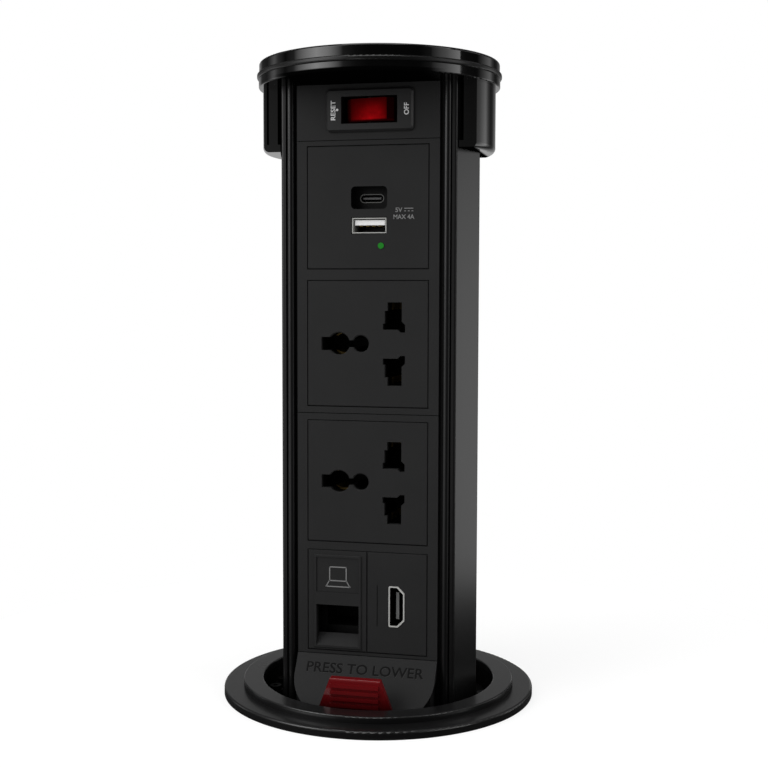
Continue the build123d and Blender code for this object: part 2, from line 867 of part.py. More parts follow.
def module_case(x, z, back):
    """A tray behind a module's face, with a flange that bears on the back of the front plate."""
    spread = case_flange
    part = block((x[0] - spread, x[1] + spread), (case_front, case_front + case_flange_t),
                 (z[0] - spread, z[1] + spread))
    part += block((x[0] + case_inset, x[1] - case_inset), (case_front, back),
                  (z[0] + case_inset, z[1] - case_inset))
    wall = case_inset + case_wall
    part -= block((x[0] + wall, x[1] - wall), (case_front - over, back - case_wall),
                  (z[0] + wall, z[1] - wall))
    return part


def switch_panel():
    part = plate((switch_line, cap_under - fit), [])
    half_w, half_h = switch_body_w / 2 + fit, switch_body_h / 2 + fit
    return part - block((switch_x - half_w, switch_x + half_w), (-panel_y - over, plate_back + over),
                        (switch_z - half_h, switch_z + half_h))


def switch_bezel():
    shape = Pos(switch_x, switch_z) * RectangleRounded(switch_bezel_w, switch_bezel_h, switch_bezel_r)
    part = along_y(shape, (-panel_y - switch_bezel_t, -panel_y - fit))
    part = chamfer(part.edges().group_by(Axis.Y)[0], switch_bezel_edge)
    hole = Pos(switch_x, switch_z) * Rectangle(switch_open_w, switch_open_h)
    return part - along_y(hole, (-panel_y - switch_bezel_t - over, 0))


def switch_body():
    shape = Pos(switch_x, switch_z) * Rectangle(switch_body_w, switch_body_h)
    part = along_y(shape, (-panel_y - fit, -panel_y + switch_body_depth))
    well = Pos(switch_x, switch_z) * Rectangle(switch_open_w, switch_open_h)
    part -= along_y(well, (-panel_y - over, -panel_y + switch_well))
    axle = Cylinder(rocker_axle_r - fit, switch_open_h + rocker_axle_r)
    return part + Pos(switch_x, -rocker_pivot_y, switch_z) * axle


def switch_rocker():
    """A flat lens between two raked ends, drawn with its left end pressed in."""
    front = -rocker_front_rise
    shoulder = front + rocker_end_drop
    shape = outline((-rocker_flat_half, front), (rocker_flat_half, front), (rocker_half, shoulder),
                    (rocker_half, shoulder + rocker_axle_r), (rocker_root, rocker_root),
                    (-rocker_root, rocker_root), (-rocker_half, shoulder + rocker_axle_r),
                    (-rocker_half, shoulder))
    part = extrude(shape, rocker_h / 2, both=True)
    part -= Cylinder(rocker_axle_r + fit, rocker_h + over)
    return Pos(switch_x, -rocker_pivot_y, switch_z) * Rot(0, 0, -rocker_tilt) * part


# USB module
def usb_module_face():
    part = module_face((-module_half, module_half), (usb_low, usb_high))
    well = Pos(usb_x, usb_well_z) * RectangleRounded(usb_well_w, usb_well_h, usb_well_r)
    part -= along_y(well, (-panel_y - over, plate_back + over))
    port = Pos(usb_x, usb_a_z) * Rectangle(usb_a_w + 2 * usb_a_gap, usb_a_h + 2 * usb_a_gap)
    part -= along_y(port, (-panel_y - over, plate_back + over))
    return part - along_y(Pos(led_x, led_z) * Circle(led_r + fit), (-panel_y - over, plate_back + over))


def usb_module_case():
    part = module_case((-module_half, module_half), (usb_low, usb_high), case_front + usb_case_depth)
    # the sunk surround that the smaller port opens into
    floor = -panel_y + usb_well_depth
    middle = Pos(usb_x, usb_well_z)
    cup = middle * RectangleRounded(usb_well_w, usb_well_h, usb_well_r)
    wall = middle * RectangleRounded(usb_well_w + case_wall, usb_well_h + case_wall, usb_well_r)
    half = case_wall / 2
    part += block((-case_half, case_half), (case_front, floor), (usb_well_z - half, usb_well_z + half))
    part += along_y(wall, (case_front, floor + case_wall))
    part -= along_y(cup, (case_front - over, floor))
    hole = middle * SlotOverall(usb_c_w + 2 * fit, usb_c_h + 2 * fit)
    part -= along_y(hole, (floor - over, floor + case_wall + over))
    return part


def usb_circuit_board():
    """The board stands behind both ports."""
    front = -panel_y + usb_a_inset + usb_a_depth + fit
    return block((-board_half, board_half), (front, front + board_t),
                 (usb_low + board_margin, usb_high - board_margin))


def usb_c_shell():
    outer = Pos(usb_x, usb_well_z) * SlotOverall(usb_c_w, usb_c_h)
    inner = Pos(usb_x, usb_well_z) * SlotOverall(usb_c_w - 2 * usb_c_wall, usb_c_h - 2 * usb_c_wall)
    front = -panel_y + usb_well_depth
    part = along_y(outer, (front, front + usb_c_depth))
    return part - along_y(inner, (front - over, front + usb_c_depth - usb_c_wall))


def usb_c_tongue():
    front = -panel_y + usb_well_depth + usb_c_wall
    back = -panel_y + usb_well_depth + usb_c_depth - usb_c_wall
    half_w, half_t = usb_c_tongue_w / 2, usb_c_tongue_t / 2
    return block((usb_x - half_w, usb_x + half_w), (front, back - fit),
                 (usb_well_z - half_t, usb_well_z + half_t))


def usb_a_shell():
    front = -panel_y + usb_a_inset
    outer = Pos(usb_x, usb_a_z) * Rectangle(usb_a_w, usb_a_h)
    inner = Pos(usb_x, usb_a_z) * Rectangle(usb_a_w - 2 * usb_a_wall, usb_a_h - 2 * usb_a_wall)
    part = along_y(outer, (front, front + usb_a_depth))
    return part - along_y(inner, (front - over, front + usb_a_depth - usb_a_wall))


def usb_a_tongue_z():
    high = usb_a_z + usb_a_h / 2 - usb_a_wall - usb_a_tongue_gap
    return (high - usb_a_tongue_t, high)


def usb_a_tongue():
    front = -panel_y + usb_a_inset + over
    back = -panel_y + usb_a_inset + usb_a_depth - usb_a_wall
    half_w = usb_a_tongue_w / 2
    return block((usb_x - half_w, usb_x + half_w), (front, back - fit), usb_a_tongue_z())


def usb_a_contacts():
    """Four strips under the tongue."""
    front = -panel_y + usb_a_inset + 2 * over
    back = -panel_y + usb_a_inset + usb_a_depth - usb_a_wall
    high = usb_a_tongue_z()[0] - fit
    pieces = []
    for i in range(usb_a_contact_count):
        x = usb_x + (i - (usb_a_contact_count - 1) / 2) * usb_a_contact_pitch
        pieces.append(block((x - usb_a_contact_w / 2, x + usb_a_contact_w / 2), (front, back - fit),
                            (high - usb_a_contact_t, high)))
    return pieces


def status_led():
    front = -panel_y - led_dome
    return along_y(Pos(led_x, led_z) * Circle(led_r), (front, plate_back + over))


# Universal sockets
def pin_hole(side, grow):
    """The stepped slot of one flat or round pin; side 1 is above the middle, -1 below."""
    def tall(x0, x1, high):
        z = sorted((side * (pin_low - grow), side * (high + grow)))
        return patch((x0 - grow, x1 + grow), z)

    shape = tall(pin_left, pin_right, pin_high) + tall(pin_step_x, pin_right, pin_step_z)
    shape += tall(pin_foot_x, pin_right, pin_foot_z)
    # a toe at the inner end takes the corner of a slanted blade
    high, low = side * (pin_toe_high + grow), side * (pin_toe_low - grow)
    bevel = side * pin_toe_cut
    toe = outline((pin_left, high + bevel), (pin_right + grow, high + bevel), (pin_toe_x + grow, high),
                  (pin_toe_x + grow, low), (pin_toe_in_x - grow, low),
                  (pin_toe_in_x - grow - pin_toe_cut, low + bevel), (pin_left, low + bevel))
    return shape + toe


def earth_hole(grow):
    shape = patch((earth_slot_x - grow, earth_x), (-earth_slot_half - grow, earth_slot_half + grow))
    shape += patch((earth_x, small_x), (-neck_slot_half - grow, neck_slot_half + grow))
    shape += Pos(earth_x, 0) * Circle(earth_r + grow)
    return shape + Pos(small_x, 0) * Circle(small_r + grow)


def holes(grow, y):
    part = along_y(earth_hole(grow), y)
    for side in (-1, 1):
        part += along_y(pin_hole(side, grow), y)
    return part


def socket_face(z):
    part = module_face((-module_half, module_half), z)
    middle = (z[0] + z[1]) / 2
    part -= Pos(0, 0, middle) * holes(0, (-panel_y - over, plate_back + over))
    # the front edges of the round holes are broken
    for x, r in ((earth_x, earth_r), (small_x, small_r)):
        cone = Cone(r + hole_edge, r, hole_edge)
        part -= toward(cone, x, -panel_y + hole_edge / 2, middle, turn_x=-quarter_turn)
    return part


def socket_body(z):
    spread = case_flange
    part = block((-module_half - spread, module_half + spread), (case_front, case_front + case_flange_t),
                 (z[0] - spread, z[1] + spread))
    part += block((-case_half, case_half), (case_front, case_front + socket_body_depth),
                  (z[0] + case_inset, z[1] - case_inset))
    floor = case_front + socket_depth
    return part - Pos(0, 0, (z[0] + z[1]) / 2) * holes(cavity_grow, (case_front - over, floor))


def socket_contacts(z):
    """A sleeve for the earth pin and a pair of leaves for each of the others."""
    middle = (z[0] + z[1]) / 2
    y = (case_front + contact_start, case_front + socket_depth - fit)
    sleeve_out = earth_r + cavity_grow - fit
    ring = Circle(sleeve_out) - Circle(sleeve_out - earth_sleeve_wall)
    # the sleeve is split where the flat slot and the neck meet the round hole
    split = patch((-2 * earth_r, 2 * earth_r), (-earth_slot_half - run, earth_slot_half + run))
    pieces = [along_y(Pos(earth_x, middle) * (ring - split), y)]
    for side in (-1, 1):
        leaf_z = sorted((side * (pin_step_z + run), side * (pin_high - run)))
        low, high = middle + leaf_z[0], middle + leaf_z[1]
        left = block((pin_left - cavity_grow + fit, pin_left - cavity_grow + fit + contact_t), y, (low, high))
        right_x = pin_right + cavity_grow - fit
        right = block((right_x - contact_t, right_x), y, (low, high))
        bridge = block((pin_left, pin_right), (y[1] - contact_t, y[1]), (low, high))
        pieces.append(left + right + bridge)
    return pieces


# Data and display modules
def data_module_frame():
    part = module_face((-module_half, 0), (data_low, data_high))
    front = -panel_y - frame_proud
    raised = block((frame_x0 - frame_rim, frame_x1 + frame_rim), (front, -panel_y + over),
                   (jack_low - frame_rim, icon_high + frame_rim))
    part += chamfer(raised.edges().group_by(Axis.Y)[0], plate_edge)
    part -= block((frame_x0, frame_x1), (front - over, plate_back + over), (icon_low, icon_high))
    part -= block((frame_x0, frame_x1), (front - over, plate_back + over), (jack_low, jack_high))
    # the sill slopes up from the front edge of the opening
    back = front + sill_depth
    sill = outline((front + plate_edge, jack_low), (back, jack_low), (back, jack_low + sill_h))
    return part + along_x(sill, (frame_x0, frame_x1))


def data_icon_plate():
    front = -panel_y - frame_proud + icon_recess
    return block((frame_x0 + fit, frame_x1 - fit), (front, front + icon_plate_t),
                 (icon_low + fit, icon_high - fit))


def data_jack():
    """A deep surround behind the frame's opening, with one port in its floor."""
    spread = case_flange
    part = block((-module_half - spread, -seam), (case_front, case_front + case_flange_t),
                 (data_low - spread, data_high + spread))
    floor = case_front + jack_set
    back = floor + jack_depth
    part += block((frame_x0 - jack_wall, frame_x1 + jack_wall), (case_front, back),
                  (jack_low - jack_wall, jack_high + jack_wall))
    part -= block((frame_x0 - fit, frame_x1 + fit), (case_front - over, floor),
                  (jack_low - fit, jack_high + fit))
    half_w, half_h = jack_port_w / 2, jack_port_h / 2
    return part - block((jack_x - half_w, jack_x + half_w), (floor - over, back - jack_wall),
                        (jack_port_z - half_h, jack_port_z + half_h))


def data_jack_contacts():
    """Sprung wires that slope down from the roof of the port."""
    high = jack_port_z + jack_port_h / 2 - fit
    low = high - 2 * jack_wire_r
    start = case_front + jack_set + jack_wire_start
    end = case_front + jack_set + jack_depth / 2
    wire = outline((start, high), (start, low), (end, low - jack_wire_drop), (end, high - jack_wire_drop))
    places = [jack_x + (i - (jack_wire_count - 1) / 2) * jack_wire_pitch for i in range(jack_wire_count)]
    return [along_x(wire, (x - jack_wire_r, x + jack_wire_r)) for x in places]


def hdmi_outline(shrink):
    x0, x1 = hdmi_x0 + shrink, hdmi_x1 - shrink
    low, high = hdmi_low + shrink, hdmi_high - shrink
    shape = outline((x0, low), (x1 - hdmi_chamfer, low), (x1, low + hdmi_chamfer), (x1, high - hdmi_chamfer),
                    (x1 - hdmi_chamfer, high), (x0, high))
    return fillet(shape.vertices(), hdmi_corner_r)


def hdmi_module_face():
    part = module_face((0, module_half), (data_low, data_high))
    # a shallow upright line beside the port
    part -= block((hdmi_mark_x - hdmi_mark_w / 2, hdmi_mark_x + hdmi_mark_w / 2),
                  (-panel_y - over, -panel_y + hdmi_mark_depth), (hdmi_low, hdmi_high))
    return part - along_y(hdmi_outline(-fit), (-panel_y - over, plate_back + over))


def hdmi_shell():
    front = -panel_y - hdmi_proud
    part = along_y(hdmi_outline(0), (front, front + hdmi_depth))
    return part - along_y(hdmi_outline(hdmi_wall), (front - over, front + hdmi_depth - hdmi_wall))


def hdmi_tongue():
    x_mid = (hdmi_x0 + hdmi_x1) / 2
    y = (-panel_y + hdmi_tongue_set, -panel_y - hdmi_proud + hdmi_depth - hdmi_wall - fit)
    return block((x_mid - hdmi_tongue_t / 2, x_mid + hdmi_tongue_t / 2), y,
                 (hdmi_low + hdmi_tongue_margin, hdmi_high - hdmi_tongue_margin))


def hdmi_body():
    spread = case_flange
    x_mid, z_mid = (hdmi_x0 + hdmi_x1) / 2, (hdmi_low + hdmi_high) / 2
    part = block((seam, module_half + spread), (case_front, case_front + case_flange_t),
                 (data_low - spread, data_high + spread))
    back = -panel_y + hdmi_depth + case_wall
    part += block((x_mid - hdmi_body_w / 2, x_mid + hdmi_body_w / 2), (case_front, back),
                  (z_mid - hdmi_body_h / 2, z_mid + hdmi_body_h / 2))
    return part - along_y(hdmi_outline(-fit), (case_front - over, back - case_wall))


# Cap
def cap_collar():
    """The lower band of the cap, its two side skirts and the plug inside the shell."""
    band = post(collar_r, (cap_under, cap_under + collar_h))
    band = round_edges_at(band, cap_under, collar_r, collar_edge)
    low = cap_under - skirt_h
    skirt = post(skirt_r, (low, cap_under))
    skirt = round_edges_at(skirt, low, skirt_r, skirt_edge)
    skirt &= block((-collar_r, collar_r), (-skirt_half_y, skirt_half_y), (low, cap_under))
    skirt -= along_z(hexagon(skirt_lip_gap), (low - over, cap_under + over))
    skirt -= along_z(hexagon(skirt_gap), (low + skirt_lip, cap_under + over))
    # a shallow panel in each face of the skirts, inside a rim and above a lip
    face_x = math.sqrt(skirt_r ** 2 - skirt_half_y ** 2) - skirt_rim
    for side in (-1, 1):
        y = sorted((side * (skirt_half_y - skirt_recess), side * (skirt_half_y + over)))
        skirt -= block((-face_x, face_x), y, (low + skirt_lip, cap_under - fit))
    plug = inner_plug((cap_under - plug_h, cap_under), plug_wall)
    return band + skirt + plug


def cap_seal():
    z = (cap_under + collar_h + fit, cap_under + collar_h + bead_h)
    part = tube(cap_hub_r + fit, bead_r, z)
    part = round_edges_at(part, z[1], bead_r, bead_edge)
    return round_edges_at(part, z[0], bead_r, bead_edge)


def top_cap():
    low = cap_under + collar_h + bead_h + fit
    high = low + cap_h
    part = round_edges_at(post(cap_r, (low, high)), high, cap_r, cap_edge)
    part += post(cap_hub_r, (cap_under + collar_h + fit, low))
    return part - post(cap_r - cap_lip_w, (high - cap_lip_h, high + over))


upper_plate = (middle_line, switch_line)
lower_plate = (panel_bottom, middle_line)
usb_span = (usb_low, usb_high)
socket_one_span = (socket_one_low, socket_one_high)
socket_two_span = (socket_two_low, socket_two_high)
data_span = (data_low, data_high)

pieces = {
    "desk_flange": desk_flange(),
    "trim_ring": trim_ring(),
    "flange_gasket": flange_gasket(),
    "outer_sleeve": outer_sleeve(),
    "rise_stop": rise_stop(),
    "clamp_screws": clamp_screws(),
    "clamp_nut_left": clamp_nut(-1),
    "clamp_nut_right": clamp_nut(1),
    "clamp_dog_left": clamp_dog(-1),
    "clamp_dog_right": clamp_dog(1),
    "sleeve_end_cap": sleeve_end_cap(),
    "end_cap_screws": end_cap_screws(),
    "landing_pad": landing_pad(),
    "cable_gland": cable_gland(),
    "gland_nut": gland_nut(),
    "tower_shell": tower_shell(),
    "shell_screws": shell_screws(),
    "tower_foot": tower_foot(),
    "foot_screws": foot_screws(),
    "foot_base_plate": foot_base_plate(),
    "base_plate_screws": base_plate_screws(),
    "release_bezel": release_bezel(),
    "release_button": release_button(),
    "button_spring": button_spring(),
    "latch_bolt_left": latch_bolt(-1),
    "latch_bolt_right": latch_bolt(1),
    "latch_springs": latch_springs(),
    "switch_panel": switch_panel(),
    "upper_front_panel": plate(upper_plate, [usb_span, socket_one_span]),
    "lower_front_panel": plate(lower_plate, [socket_two_span, data_span]),
    "switch_bezel": switch_bezel(),
    "switch_body": switch_body(),
    "switch_rocker": switch_rocker(),
    "usb_module_face": usb_module_face(),
    "usb_module_case": usb_module_case(),
    "usb_circuit_board": usb_circuit_board(),
    "usb_c_shell": usb_c_shell(),
    "usb_c_tongue": usb_c_tongue(),
    "usb_a_shell": usb_a_shell(),
    "usb_a_tongue": usb_a_tongue(),
    "usb_a_contacts": usb_a_contacts(),
    "status_led": status_led(),
    "socket_face_upper": socket_face(socket_one_span),
    "socket_body_upper": socket_body(socket_one_span),
    "socket_contacts_upper": socket_contacts(socket_one_span),
    "socket_face_lower": socket_face(socket_two_span),
    "socket_body_lower": socket_body(socket_two_span),
    "socket_contacts_lower": socket_contacts(socket_two_span),
    "data_module_frame": data_module_frame(),
    "data_icon_plate": data_icon_plate(),
    "data_jack": data_jack(),
    "data_jack_contacts": data_jack_contacts(),
    "hdmi_module_face": hdmi_module_face(),
    "hdmi_shell": hdmi_shell(),
    "hdmi_tongue": hdmi_tongue(),
    "hdmi_body": hdmi_body(),
    "cap_collar": cap_collar(),
    "cap_seal": cap_seal(),
    "top_cap": top_cap(),
}

os.makedirs("parts", exist_ok=True)
for name, piece in pieces.items():
    shape = Compound(children=piece) if isinstance(piece, list) else piece
    export_step(shape, f"parts/{name}.step")
print(len(pieces), "nodes, travel", round(travel, 2), "end cap top", round(end_cap_top, 2))
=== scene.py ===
import bpy
import math
from mathutils import Matrix, Vector


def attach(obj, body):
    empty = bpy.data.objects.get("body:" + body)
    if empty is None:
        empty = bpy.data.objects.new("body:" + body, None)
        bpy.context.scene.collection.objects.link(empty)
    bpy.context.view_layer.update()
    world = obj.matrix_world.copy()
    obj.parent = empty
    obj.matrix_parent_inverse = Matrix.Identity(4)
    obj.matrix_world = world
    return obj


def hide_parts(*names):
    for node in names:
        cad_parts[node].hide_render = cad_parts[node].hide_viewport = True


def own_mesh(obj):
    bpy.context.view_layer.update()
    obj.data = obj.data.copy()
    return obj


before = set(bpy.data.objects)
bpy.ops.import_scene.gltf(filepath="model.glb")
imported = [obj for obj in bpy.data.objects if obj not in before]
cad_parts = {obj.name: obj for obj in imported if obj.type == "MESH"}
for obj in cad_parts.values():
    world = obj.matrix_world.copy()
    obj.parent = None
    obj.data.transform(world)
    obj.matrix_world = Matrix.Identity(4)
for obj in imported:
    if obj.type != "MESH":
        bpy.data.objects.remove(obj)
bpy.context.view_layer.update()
mm = 0.001
print("frame loaded:", len(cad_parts), "nodes")


# A socket of a shader, used in sums like a number
class Wire:
    def __init__(self, tree, socket=None):
        self.tree = tree
        self.socket = socket

    def make(self, kind, settings, sockets, output=0):
        node = self.tree.nodes.new(kind)
        for key, value in settings.items():
            if key == "stops":
                ramp = node.color_ramp.elements
                while len(ramp) < len(value):
                    ramp.new(1.0)
                for stop, (place, shade) in zip(ramp, value):
                    stop.position = place
                    stop.color = (shade, shade, shade, 1.0)
            else:
                setattr(node, key, value)
        for key, value in sockets.items():
            if isinstance(value, Wire):
                self.tree.links.new(value.socket, node.inputs[key])
            else:
                node.inputs[key].default_value = value
        return Wire(self.tree, node.outputs[output])

    def sum(self, operation, first, second):
        return self.make("ShaderNodeMath", {"operation": operation}, {0: first, 1: second})

    def __add__(self, other):
        return self.sum("ADD", self, other)

    def __radd__(self, other):
        return self.sum("ADD", other, self)

    def __sub__(self, other):
        return self.sum("SUBTRACT", self, other)

    def __rsub__(self, other):
        return self.sum("SUBTRACT", other, self)

    def __mul__(self, other):
        return self.sum("MULTIPLY", self, other)

    def __rmul__(self, other):
        return self.sum("MULTIPLY", other, self)


def paintedPortShade(start, end):
    # painted shade: a port's inside turns black from one depth to another, where little light reaches
    return {"axis": "Y", "start": start, "end": end, "colour": (0.002, 0.002, 0.002)}


def rays(flow):
    # which kind of ray meets a surface or the world: from the camera, mirrored, passed through
    return [flow.make("ShaderNodeLightPath", {}, {}, kind)
            for kind in ("Is Camera Ray", "Is Glossy Ray", "Is Transmission Ray")]


def newMaterial(name):
    material = bpy.data.materials.new(name)
    material.use_nodes = True
    tree = material.node_tree
    for node in list(tree.nodes):
        if node.type != "OUTPUT_MATERIAL":
            tree.nodes.remove(node)
    return material, Wire(tree), tree.nodes["Material Output"]


def paintShades(flow, place, colour, paintedShades):
    # painted shade: a second, darker colour beyond a place along one axis, such as the shaded inside of a port
    for fade in paintedShades:
        along = flow.make("ShaderNodeSeparateXYZ", {}, {"Vector": place}, fade["axis"])
        share = flow.make("ShaderNodeMapRange", {}, {"Value": along, "From Min": fade["start"] * mm,
                                                     "From Max": fade["end"] * mm})
        colour = flow.make("ShaderNodeMix", {"data_type": "RGBA"},
                           {"Factor": share, 6: colour, 7: fade["colour"] + (1.0,)}, 2)
    return colour


shadeSpotEdge = 1.3


def paintShadeSpots(flow, place, coat, spots):
    # painted shade: no clear coat within a reach of a height and across a span of widths, so that these spots
    # mirror nothing and look shaded
    for spot in spots:
        outside = 0.0
        for axis, middle, reach in (("Z", spot["z"], spot["reach"]), ("X", spot["x"], spot["half"])):
            along = flow.make("ShaderNodeSeparateXYZ", {}, {"Vector": place}, axis)
            away = flow.make("ShaderNodeMath", {"operation": "ABSOLUTE"}, {0: along - middle * mm})
            step = flow.make("ShaderNodeMapRange", {}, {"Value": away, "From Min": reach * mm,
                                                        "From Max": shadeSpotEdge * reach * mm})
            outside = flow.sum("MAXIMUM", outside, step)
        coat = outside * coat
    return coat


noiseMiddle = 0.5


def finish(name, look):
    # moulded, rubber and metal finishes: colour that drifts a little, fine grain, uneven sheen, clear coat, and
    # painted shade where a look lists it
    material, flow, output = newMaterial(name)
    place = flow.make("ShaderNodeTexCoord", {}, {}, "Object")
    drift, grain = (flow.make("ShaderNodeTexNoise", {}, {"Vector": place, "Scale": look[kind + "Scale"],
                                                         "Detail": look[kind + "Detail"]}, 0)
                    for kind in ("drift", "grain"))
    dark = tuple(channel * (1 - look["drift"]) for channel in look["colour"]) + (1.0,)
    light = tuple(channel * (1 + look["drift"]) for channel in look["colour"]) + (1.0,)
    colour = flow.make("ShaderNodeMix", {"data_type": "RGBA"}, {"Factor": drift, 6: dark, 7: light}, 2)
    rough = look["roughness"] + (drift - noiseMiddle) * look["sheenDrift"]
    colour = paintShades(flow, place, colour, look["paintedShades"])
    coat = paintShadeSpots(flow, place, look["coat"], look["shadeSpots"])
    bump = flow.make("ShaderNodeBump", {}, {"Strength": look["grain"], "Distance": look["grainDepth"] * mm,
                                            "Height": grain})
    sockets = {"Base Color": colour, "Roughness": rough, "Normal": bump, "Metallic": look["metal"],
               "Specular IOR Level": look["specular"], "Coat Weight": coat,
               "Coat Roughness": look["coatRoughness"]}
    shader = flow.make("ShaderNodeBsdfPrincipled", {}, sockets)
    flow.tree.links.new(shader.socket, output.inputs["Surface"])
    return material


plain = {"driftScale": 60.0, "driftDetail": 3.0, "drift": 0.12, "grainScale": 2600.0, "grainDetail": 2.0,
         "grain": 0.25, "grainDepth": 0.02, "roughness": 0.45, "sheenDrift": 0.08, "metal": 0.0,
         "specular": 0.5, "coat": 0.0, "coatRoughness": 0.1, "paintedShades": [], "shadeSpots": []}
polished = dict(plain, colour=(0.0022, 0.0022, 0.0023), roughness=0.5, specular=0.05, grain=0.04, coat=1.0)
mirrored = dict(polished, colour=(0.001, 0.001, 0.001), specular=0.0)
rim = dict(polished, coat=0.9, coatRoughness=0.2, specular=0.2)
faced = dict(plain, colour=(0.0205, 0.0205, 0.0207), roughness=0.55, specular=0.12, grain=0.35)
port = dict(plain, metal=0.25, roughness=0.35, grainScale=1500.0, grain=0.1)
tongue = dict(plain, roughness=0.4)

finishes = {
    "shellBlack": dict(polished, coat=0.8, coatRoughness=0.33, roughness=0.45),
    # painted shade: the cap's underside and the lower edge of its right skirt mirror nothing, so that they look
    # shaded
    "collarBlack": dict(mirrored, coatRoughness=0.09,
                        shadeSpots=[{"z": 225.4, "reach": 1.2, "x": 0.0, "half": 24.0},
                              {"z": 201.8, "reach": 0.3, "x": 35.0, "half": 3.2}]),
    "capBlack": dict(mirrored, coatRoughness=0.05),
    "rimBlack": rim,
    # painted shade: a band low on the trim ring's outer wall mirrors nothing, so that it looks shaded
    "trimBlack": dict(rim, shadeSpots=[{"z": 3.0, "reach": 1.1, "x": 0.0, "half": 60.0}]),
    "hiddenBlack": dict(plain, colour=(0.0022, 0.0022, 0.0022), roughness=0.6, specular=0.12),
    "panelBlack": faced,
    # painted shade: the face darkens inside its ports
    "portFace": dict(faced, paintedShades=[paintedPortShade(-18.3, -17.8)]),
    "bezelBlack": dict(plain, colour=(0.0145, 0.0145, 0.0147), roughness=0.4, specular=0.35, grain=0.15),
    "bibBlack": dict(plain, colour=(0.0125, 0.0125, 0.0127), roughness=0.5, specular=0.2),
    "sealRubber": dict(plain, colour=(0.003, 0.003, 0.003), roughness=0.32, grain=0.2, specular=0.35),
    "darkCase": dict(plain, colour=(0.003, 0.003, 0.003), roughness=0.55, specular=0.15),
    "zincSteel": dict(plain, colour=(0.42, 0.42, 0.41), roughness=0.34, metal=1.0, grainScale=1200.0),
    "blackSteel": dict(plain, colour=(0.012, 0.012, 0.012), roughness=0.5, metal=1.0),
    "contactBrass": dict(plain, colour=(0.24, 0.17, 0.06), roughness=0.45, metal=1.0, drift=0.2),
    "clampBrass": dict(plain, colour=(0.72, 0.5, 0.22), roughness=0.3, metal=1.0, drift=0.2),
    "boardGreen": dict(plain, colour=(0.01, 0.09, 0.04), roughness=0.4),
    # painted shade: each port's shell and tongue darken inwards
    "smallPort": dict(port, colour=(0.13, 0.13, 0.125), paintedShades=[paintedPortShade(-13.3, -12.9)]),
    "largePort": dict(port, colour=(0.5, 0.5, 0.48), paintedShades=[paintedPortShade(-16.5, -8.0)]),
    "displayPort": dict(port, colour=(0.56, 0.56, 0.54), paintedShades=[paintedPortShade(-18.4, -18.1)]),
    "smallTongue": dict(tongue, colour=(0.1, 0.1, 0.1), paintedShades=[paintedPortShade(-12.8, -12.0)]),
    "displayTongue": dict(tongue, colour=(0.16, 0.16, 0.16), paintedShades=[paintedPortShade(-16.2, -15.6)]),
    "whiteTongue": dict(tongue, colour=(0.92, 0.92, 0.92), drift=0.02),
    # painted shade: the release button darkens towards its lower edge
    "buttonRed": dict(plain, colour=(0.125, 0.0032, 0.0048), roughness=0.36, drift=0.25, specular=0.06,
                      coat=0.5, coatRoughness=0.12,
                      paintedShades=[{"axis": "Z", "start": 11.0, "end": 3.5, "colour": (0.03, 0.001, 0.0015)}]),
    # painted shade: the lens darkens towards its top, both ends and its lower edge, with its right end darkest,
    # so it is brightest in the middle of its lower half
    "rockerRed": dict(plain, colour=(0.5, 0.004, 0.007), roughness=0.3, drift=0.7, driftScale=330.0, grain=0.05,
                      specular=0.0, paintedShades=[
                          {"axis": "Z", "start": 211.6, "end": 219.6, "colour": (0.07, 0.0008, 0.0015)},
                          {"axis": "X", "start": 1.2, "end": -6.6, "colour": (0.05, 0.0006, 0.001)},
                          {"axis": "X", "start": 2.0, "end": 9.5, "colour": (0.06, 0.0007, 0.001)},
                          {"axis": "X", "start": 7.3, "end": 7.5, "colour": (0.01, 0.0004, 0.0008)},
                          {"axis": "Z", "start": 212.7, "end": 212.1, "colour": (0.02, 0.0004, 0.0008)}]),
    "lightGreen": dict(plain, colour=(0.012, 0.2, 0.015), roughness=0.25, specular=0.2, coat=0.1),
    "legendWhite": dict(plain, colour=(0.75, 0.75, 0.75), roughness=0.5, drift=0.05),
    "legendGrey": dict(plain, colour=(0.2, 0.2, 0.2), roughness=0.5, drift=0.05),
    # painted shade and painted highlight for the engraved legend: dark letters for the shade in its grooves,
    # lighter letters for their lit lower edges
    "engravingShade": dict(plain, colour=(0.0035, 0.0035, 0.0035), roughness=0.6, specular=0.1),
    "engravingHighlight": dict(plain, colour=(0.028, 0.028, 0.028), roughness=0.5, specular=0.2),
}
materials = {name: finish(name, look) for name, look in finishes.items()}

